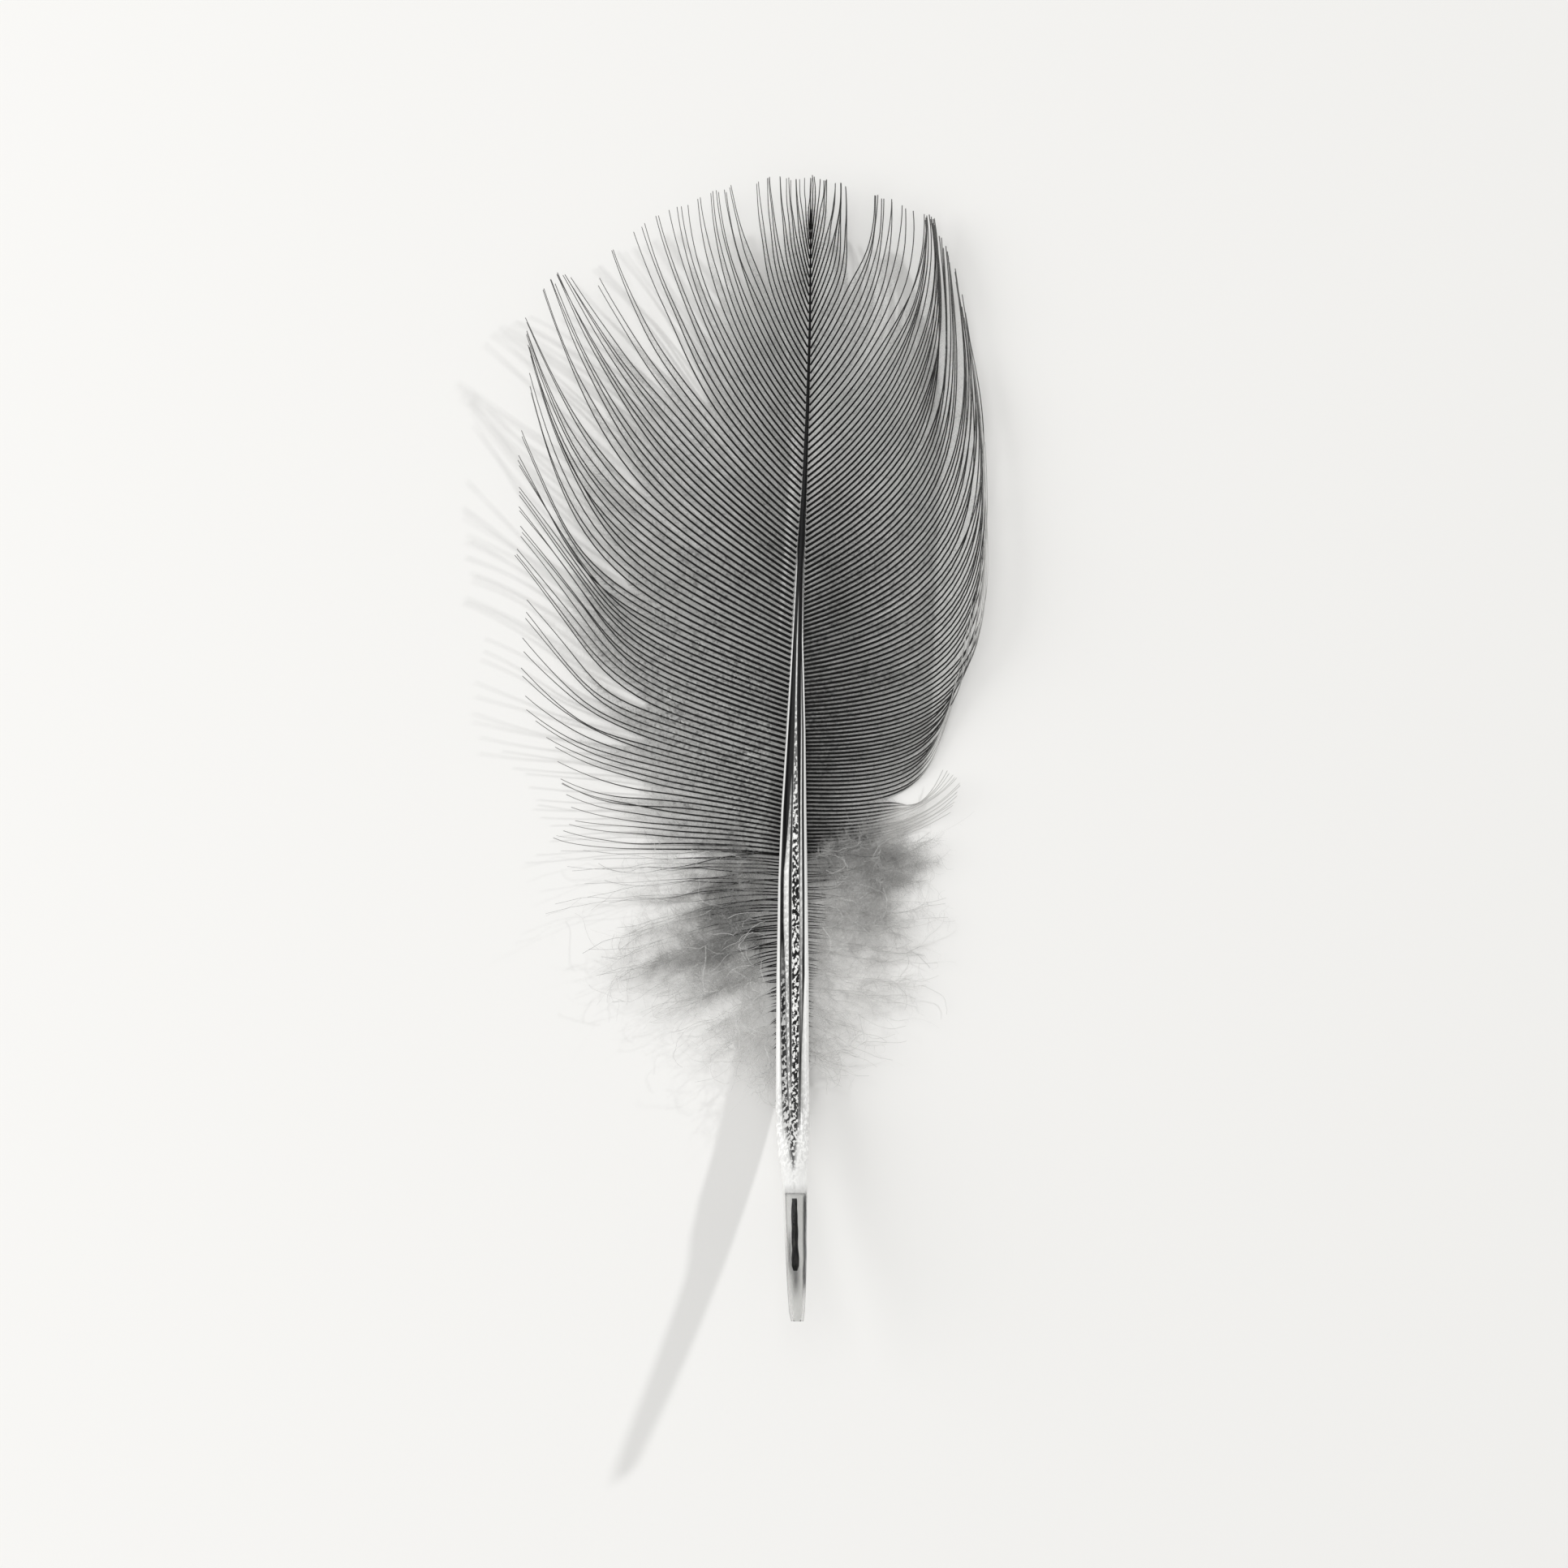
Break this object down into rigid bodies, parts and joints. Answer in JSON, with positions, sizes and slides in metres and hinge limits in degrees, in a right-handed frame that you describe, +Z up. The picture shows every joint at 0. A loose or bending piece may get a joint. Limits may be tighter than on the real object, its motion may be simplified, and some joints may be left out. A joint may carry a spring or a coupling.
{
  "type": "turkey wing feather",
  "caption": "Dark grey turkey wing feather lying on its back: grooved shaft, clear hollow quill, open web with split locks, and pale down at its foot.",
  "frame": {"origin": "on the surface that the feather rests on, under the middle of the feather's box", "axes": "+Y from the quill to the feather's tip, +X across the vane, +Z up out of the grooved underside of the shaft"},
  "size_m": [0.0534, 0.1302, 0.0122],
  "materials": {
    "shaft": "smooth horn-like keratin, white at the edges, dark and mottled in the groove, greyish and see-through on the quill",
    "pulp": "dry, dark, crumpled skin",
    "web": "dark fine barbs with a grey film of barbules between them",
    "down": "soft pale grey fluff"
  },
  "bodies": {
    "root": {"shaft": "shaft", "dried_pulp": "pulp", "vane_left_tip": "web", "vane_left_fan": "web", "vane_left_upper": "web", "vane_left_middle": "web", "vane_left_lower": "web", "vane_left_foot": "web", "vane_right_tip": "web", "vane_right_fan": "web", "vane_right_upper": "web", "vane_right_main": "web", "vane_right_foot": "web", "down_left": "down", "down_right": "down"}
  },
  "joints": []
}
